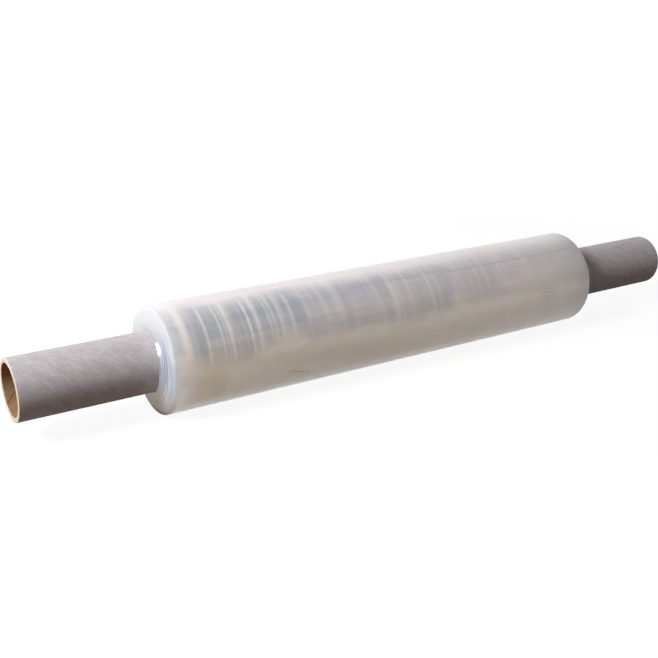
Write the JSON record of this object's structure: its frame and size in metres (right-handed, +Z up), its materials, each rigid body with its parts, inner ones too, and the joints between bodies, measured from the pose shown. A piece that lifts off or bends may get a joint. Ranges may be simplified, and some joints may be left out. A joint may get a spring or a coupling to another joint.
{
  "type": "stretch wrap roll",
  "caption": "Roll of clear stretch wrap on a long paperboard tube whose bare ends stick out on both sides as hand grips.",
  "frame": {"origin": "on the tube's axis, at the middle of the tube's length", "axes": "+X along the tube, from the shorter grip to the longer one; +Z up, away from the flat spot it rests on"},
  "size_m": [0.612, 0.0808, 0.0801],
  "materials": {
    "paperboard": "matte",
    "clear_film": "gloss"
  },
  "bodies": {
    "root": {"core_tube": "paperboard", "film_roll": "clear_film"}
  },
  "joints": []
}
